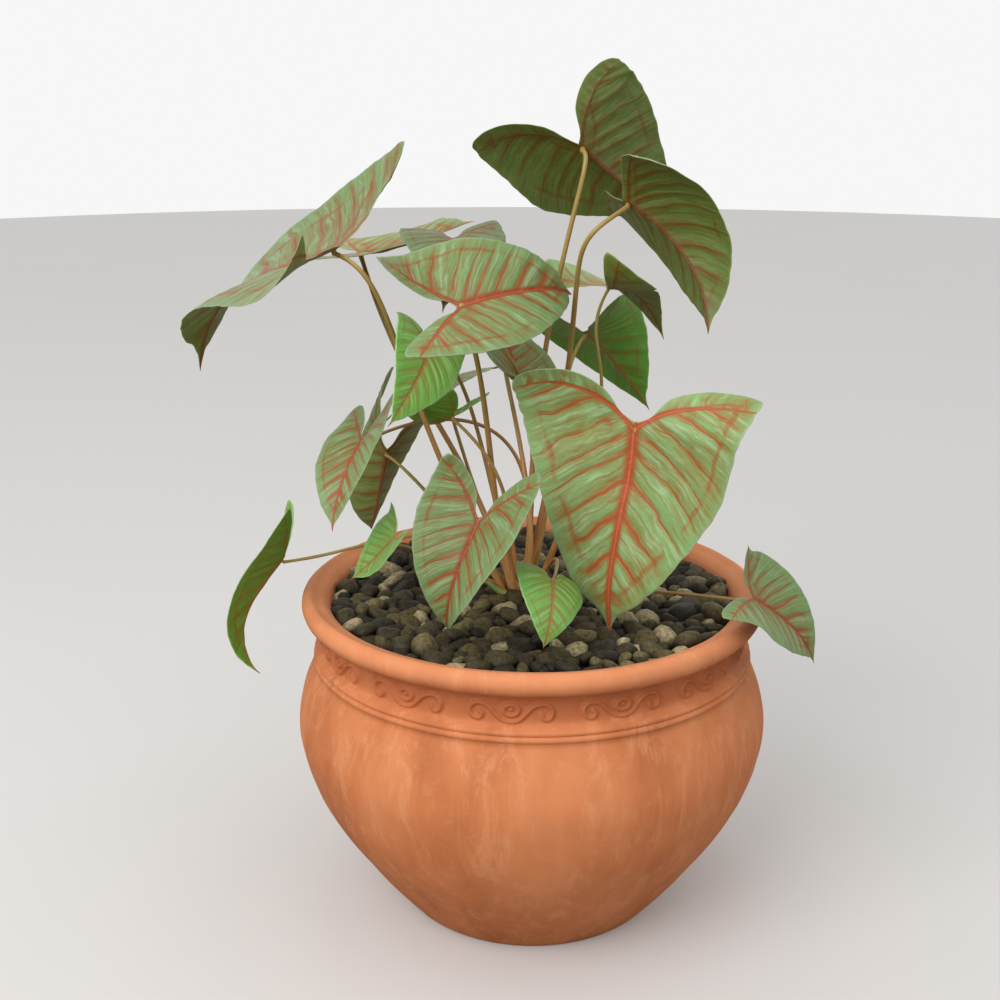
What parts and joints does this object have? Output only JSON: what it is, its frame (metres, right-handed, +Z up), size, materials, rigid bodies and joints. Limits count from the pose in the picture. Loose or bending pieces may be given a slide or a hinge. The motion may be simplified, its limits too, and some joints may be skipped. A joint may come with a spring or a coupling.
{
  "type": "potted caladium",
  "caption": "Caladium with heart-shaped, red-veined leaves on long stalks, growing from gravel in a round-bellied terracotta pot with a rolled rim and a scrolled frieze.",
  "frame": {"origin": "middle of the pot's foot, on the surface it stands on", "axes": "+Z up the pot's axis, -Y towards the front of the plant, +X to the right seen from the front"},
  "size_m": [0.406, 0.3488, 0.5493],
  "materials": {
    "terracotta": "matte",
    "potting_mix": "matte",
    "gravel": "matte",
    "tuber": "matte",
    "sheath": "satin",
    "blade": "satin",
    "stalk": "satin"
  },
  "bodies": {
    "root": {"pot": "terracotta", "potting_mix": "potting_mix", "gravel": "gravel", "tuber": "tuber", "basal_sheath": "sheath", "leaf_top_back_blade": "blade", "leaf_top_back_stalk": "stalk", "leaf_top_right_blade": "blade", "leaf_top_right_stalk": "stalk", "leaf_back_right_high_blade": "blade", "leaf_back_right_high_stalk": "stalk", "leaf_back_right_low_blade": "blade", "leaf_back_right_low_stalk": "stalk", "leaf_top_left_blade": "blade", "leaf_top_left_stalk": "stalk", "leaf_left_back_blade": "blade", "leaf_left_back_stalk": "stalk", "leaf_center_back_blade": "blade", "leaf_center_back_stalk": "stalk", "leaf_center_blade": "blade", "leaf_center_stalk": "stalk", "leaf_hidden_back_blade": "blade", "leaf_hidden_back_stalk": "stalk", "leaf_inner_left_blade": "blade", "leaf_inner_left_stalk": "stalk", "leaf_left_blade": "blade", "leaf_left_stalk": "stalk", "leaf_back_left_blade": "blade", "leaf_back_left_stalk": "stalk", "leaf_inner_back_blade": "blade", "leaf_inner_back_stalk": "stalk", "leaf_inner_right_blade": "blade", "leaf_inner_right_stalk": "stalk", "leaf_front_right_blade": "blade", "leaf_front_right_stalk": "stalk", "leaf_front_left_blade": "blade", "leaf_front_left_stalk": "stalk", "leaf_front_small_blade": "blade", "leaf_front_small_stalk": "stalk", "leaf_rim_right_blade": "blade", "leaf_rim_right_stalk": "stalk", "leaf_rim_left_blade": "blade", "leaf_rim_left_stalk": "stalk", "leaf_rim_inner_left_blade": "blade", "leaf_rim_inner_left_stalk": "stalk"}
  },
  "joints": []
}
